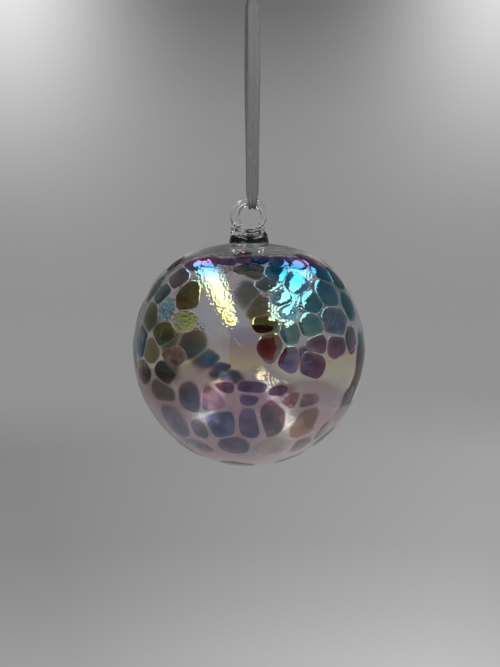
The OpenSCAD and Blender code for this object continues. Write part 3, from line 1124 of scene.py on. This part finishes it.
def neck_parts():
    gap = 0.06
    crown = lambda r: CROWN_Z + BALL[2] - SKIN + gap - (CROWN_R - math.sqrt(CROWN_R**2 - r * r))
    top = SEAL_TOP
    rim = SEAL_R
    profile = [(r, crown(r)) for r in np.linspace(0.02, rim - 0.9, 12)]
    profile += [(rim - 0.2, crown(rim) + 0.2), (rim + 0.1, crown(rim) + 0.6)]
    for a in np.linspace(0, math.pi / 2, 9):
        profile.append((rim - 2.4 + 2.2 * math.cos(a), top - 2.2 + 2.1 * math.sin(a)))
    profile += [(rim - 3.4, top - 0.2), (rim - 5.0, top - 0.2), (0.02, top - 0.2)]
    seal = lathe(profile, 96, np.array([BALL[0], 0, 0]))
    a = np.linspace(-38, 218, 110)
    r = rod_r(a)
    turn = np.radians(a)
    across, up = (EYE_R + r) * np.cos(turn), (EYE_R + r) * np.sin(turn)
    path = np.stack([across, 0.25 * np.sin(turn * 1.3), up], 1) + EYE
    loop = tube(path, r, 28)
    base = np.array([EYE[0], 0, top])
    feet = [
        ellipsoid(base + [-5.0, 0, 0.6], (3.6, 3.9, 2.6), -0.25),
        ellipsoid(base + [4.2, 0, 0.0], (3.4, 3.6, 2.3), 0.4),
        ellipsoid(base + [0, 0, 0.2], (6.4, 3.6, 2.1)),
        ellipsoid(base + [-1.6, -0.4, 1.5], (4.6, 2.2, 1.0), 0.3),
        ellipsoid(base + [2.6, -0.4, 1.6], (3.8, 2.0, 1.1), -0.35),
    ]
    t = np.linspace(math.radians(20), math.radians(310), 60)
    hook_centre = np.array([BALL[0] - 5.4, -3.1, top + 2.6])
    hook = np.stack([1.35 * np.cos(t), -0.5 + 0.9 * np.cos(t * 0.5), 1.75 * np.sin(t)], 1) + hook_centre
    curl = tube(hook, 1.0 - 0.25 * np.abs(t - t.mean()) / t.mean(), 20)
    return [seal, loop, *feet, curl]


def fuse(name, parts, voxel, smoothing):
    """The union of closed parts as one smooth skin."""
    rough = piece(name + "_rough", *join_meshes(parts))
    turn_faces_outward(rough.data)
    remesh = rough.modifiers.new("fuse", "REMESH")
    remesh.mode = "VOXEL"
    remesh.voxel_size = voxel * MM
    smooth = rough.modifiers.new("smooth", "SMOOTH")
    smooth.factor = 0.5
    smooth.iterations = smoothing
    evaluated = rough.evaluated_get(bpy.context.evaluated_depsgraph_get())
    mesh = bpy.data.meshes.new_from_object(evaluated)
    mesh.name = name
    bpy.data.objects.remove(rough)
    shade_smooth(mesh)
    obj = bpy.data.objects.new(name, mesh)
    bpy.context.scene.collection.objects.link(obj)
    return obj


def neck_glass():
    n = Nodes("clear_glass_neck")
    place = n.place()
    tone = n.mottle(120.0, 2.0, (0.97, 0.98, 0.97), (0.93, 0.95, 0.94))
    split = n.add("SeparateXYZ")
    n.wire(place, split, "Vector")
    waver = n.remap(n.noise(220.0, 1.0, place), 0.3, 0.7, -0.0004, 0.0004)
    height = n.plus(split.outputs["Z"], waver)
    below = n.remap(height, (SEAL_TOP - 1.1) * MM, (SEAL_TOP - 0.5) * MM, 1, 0, smooth=True)
    above = n.remap(height, (SEAL_TOP - 3.2) * MM, (SEAL_TOP - 2.6) * MM, 0, 1, smooth=True)
    # painted shade: a nearly black band round the seal's side stands in for the dark that the clear glass
    # refracts there
    tone = n.mix(n.times(below, above), tone, (0.012, 0.013, 0.018))
    n.set(
        Base_Color=tone, Roughness=0.0, IOR=1.52, Transmission_Weight=1.0,
        Normal=n.bump(n.noise(260.0, 1.0), 0.00012, 0.5),
    )
    return n.material


neck = fuse("neck_clear_glass", neck_parts(), 0.24, 9)
neck.data.materials.clear()
neck.data.materials.append(neck_glass())
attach(neck, "ball")
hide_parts("seal_button", "loop_foot", "hanging_loop", "loop_curl")


# ---- floor, world and lights
FLOOR_Z_M = -0.42
FLOOR_R_M = 90.0
EYE_HEIGHT_M = -0.08  # the backdrop's colours are set as seen from here
# Grey of the backdrop against the sine of the angle over the horizon
BACKDROP = [
    (-1.0, 0.45), (-0.70, 0.43), (-0.58, 0.36), (-0.46, 0.307), (-0.357, 0.298), (-0.26, 0.29),
    (-0.15, 0.284), (-0.09, 0.276), (-0.04, 0.27), (0.0, 0.268), (0.035, 0.248), (0.071, 0.20),
    (0.108, 0.145), (0.2, 0.15),
    (0.35, 0.17), (0.6, 0.12), (1.0, 0.10),
]
# Two soft pools of light at the back: sideways, up, gain; each is wider lower down
POOLS = [(-0.17, 0.17, 0.81), (0.18, 0.17, 0.74)]
POOL_HEIGHT = 0.088
RIGHT_GAIN = 0.8  # the foreground grows lighter towards the right
RIGHT_REACH = 0.25  # and is even beyond this sine to either side
# Reflections also see a dark opening at the studio's front: its left, right, foot and top over the depth
OPENING = (-0.35, 0.58, -0.21, 0.58)
OPENING_GREY = 0.04
LEFT_GREY = 0.35  # the studio's left wall is darker


def backdrop_colour(tree, direction_socket):
    """Colour of the studio in a direction: grey, darker high up, with the two pools of light."""
    def calc(operation, *values):
        return maths(tree, operation, *values)

    def step(value, start, end):
        share = calc("DIVIDE", calc("SUBTRACT", value, start), end - start)
        return calc("MINIMUM", calc("MAXIMUM", share, 0.0), 1.0)

    normal = tree.nodes.new("ShaderNodeVectorMath")
    normal.operation = "NORMALIZE"
    tree.links.new(direction_socket, normal.inputs[0])
    split = tree.nodes.new("ShaderNodeSeparateXYZ")
    tree.links.new(normal.outputs[0], split.inputs[0])
    x, y, z = split.outputs
    ramp = tree.nodes.new("ShaderNodeValToRGB")
    ramp.color_ramp.interpolation = "LINEAR"
    set_stops(ramp.color_ramp, [((s + 1) / 2, grey) for s, grey in BACKDROP])
    tree.links.new(calc("MULTIPLY_ADD", z, 0.5, 0.5), ramp.inputs["Fac"])
    total = ramp.outputs["Color"]
    for centre_x, centre_z, gain in POOLS:
        up = calc("SUBTRACT", z, centre_z)
        size = calc("MAXIMUM", calc("MULTIPLY_ADD", up, -0.13, 0.043), 0.03)
        dx = calc("DIVIDE", calc("SUBTRACT", x, centre_x), size)
        dz = calc("DIVIDE", up, POOL_HEIGHT)
        far = calc("ADD", calc("MULTIPLY", dx, dx), calc("MULTIPLY", dz, dz))
        glow = calc("MULTIPLY", calc("EXPONENT", calc("MULTIPLY", far, -0.5)), gain)
        glow = calc("MULTIPLY", glow, calc("GREATER_THAN", y, 0.0))
        total = calc("ADD", total, glow)
    low = step(z, -0.22, -0.30)
    sideways = calc("MINIMUM", calc("MAXIMUM", x, -RIGHT_REACH), RIGHT_REACH)
    gain = calc("MULTIPLY_ADD", calc("MULTIPLY", sideways, low), RIGHT_GAIN, 1.0)
    total = calc("MULTIPLY", total, gain)
    path = tree.nodes.new("ShaderNodeLightPath")
    depth = calc("MAXIMUM", calc("MULTIPLY", y, -1.0), 0.001)
    across, upward = calc("DIVIDE", x, depth), calc("DIVIDE", z, depth)
    left, right, foot, head = OPENING
    inside = calc("MULTIPLY", calc("GREATER_THAN", across, left), calc("LESS_THAN", across, right))
    inside = calc("MULTIPLY", inside, calc("GREATER_THAN", upward, foot))
    inside = calc("MULTIPLY", inside, calc("LESS_THAN", upward, head))
    reflected = calc("GREATER_THAN", path.outputs["Glossy Depth"], 0.5)
    dim = calc("MULTIPLY_ADD", calc("MULTIPLY", inside, reflected), OPENING_GREY - 1, 1.0)
    side = calc("MULTIPLY", step(x, -0.62, -0.85), reflected)
    dim = calc("MULTIPLY", dim, calc("MULTIPLY_ADD", side, LEFT_GREY - 1, 1.0))
    return calc("MULTIPLY", total, dim)


def stage_floor():
    sides = 96
    rings = np.concatenate([np.linspace(0.02, 3, 40), np.geomspace(3.2, FLOOR_R_M, 24)])
    angles = np.linspace(0, 2 * math.pi, sides, endpoint=False)
    rows = [np.stack([r * np.cos(angles), r * np.sin(angles), np.full(sides, FLOOR_Z_M)], 1) for r in rings]
    faces = grid_faces(len(rings), sides, closed=True) + [list(range(sides))[::-1]]
    floor = piece("floor", np.vstack(rows) / MM, [f[::-1] for f in faces])
    material = bpy.data.materials.new("pale_floor")
    material.use_nodes = True
    tree = material.node_tree
    tree.nodes.clear()
    place = tree.nodes.new("ShaderNodeTexCoord")
    shift = tree.nodes.new("ShaderNodeVectorMath")
    shift.operation = "SUBTRACT"
    shift.inputs[1].default_value = (0, 0, EYE_HEIGHT_M)
    tree.links.new(place.outputs["Object"], shift.inputs[0])
    emission = tree.nodes.new("ShaderNodeEmission")
    tree.links.new(backdrop_colour(tree, shift.outputs[0]), emission.inputs["Color"])
    output = tree.nodes.new("ShaderNodeOutputMaterial")
    tree.links.new(emission.outputs[0], output.inputs["Surface"])
    floor.data.materials.append(material)


def studio_world():
    world = bpy.data.worlds.new("studio")
    bpy.context.scene.world = world
    world.use_nodes = True
    tree = world.node_tree
    tree.nodes.clear()
    place = tree.nodes.new("ShaderNodeTexCoord")
    background = tree.nodes.new("ShaderNodeBackground")
    tree.links.new(backdrop_colour(tree, place.outputs["Generated"]), background.inputs["Color"])
    output = tree.nodes.new("ShaderNodeOutputWorld")
    tree.links.new(background.outputs[0], output.inputs["Surface"])


def soft_box(name, centre_m, along, facing, length_m, width_m, radiance):
    """A rectangular light. Its long side lies along one direction and it faces another."""
    light = bpy.data.lights.new(name, "AREA")
    light.shape = "RECTANGLE"
    light.size = length_m
    light.size_y = width_m
    light.energy = radiance * math.pi * length_m * width_m
    obj = bpy.data.objects.new(name, light)
    bpy.context.scene.collection.objects.link(obj)
    z_axis = -Vector(facing).normalized()
    x_axis = Vector(along)
    x_axis = (x_axis - z_axis * x_axis.dot(z_axis)).normalized()
    y_axis = z_axis.cross(x_axis)
    obj.matrix_world = Matrix.Translation(Vector(centre_m)) @ Matrix(
        (x_axis, y_axis, z_axis)).transposed().to_4x4()
    obj.visible_camera = False


stage_floor()
studio_world()
ball_m = Vector(BALL) * MM
STRIP_UP_M = 0.45  # height of the two ceiling strips over the ball


def strip(name, back_end, front_end, width_m, radiance):
    """A long light between two points of the ceiling, each right and back from the ball in metres."""
    a = ball_m + Vector((*back_end, STRIP_UP_M))
    b = ball_m + Vector((*front_end, STRIP_UP_M))
    middle = (a + b) / 2
    soft_box(name, middle, a - b, ball_m - middle, (a - b).length, width_m, radiance)


strip("left_strip", (-0.255, 0.43), (-0.18, -0.62), 0.085, 5.0)
strip("right_strip", (0.276, 0.366), (0.33, -0.47), 0.15, 4.2)

scene = bpy.context.scene
scene.view_settings.view_transform = "Standard"
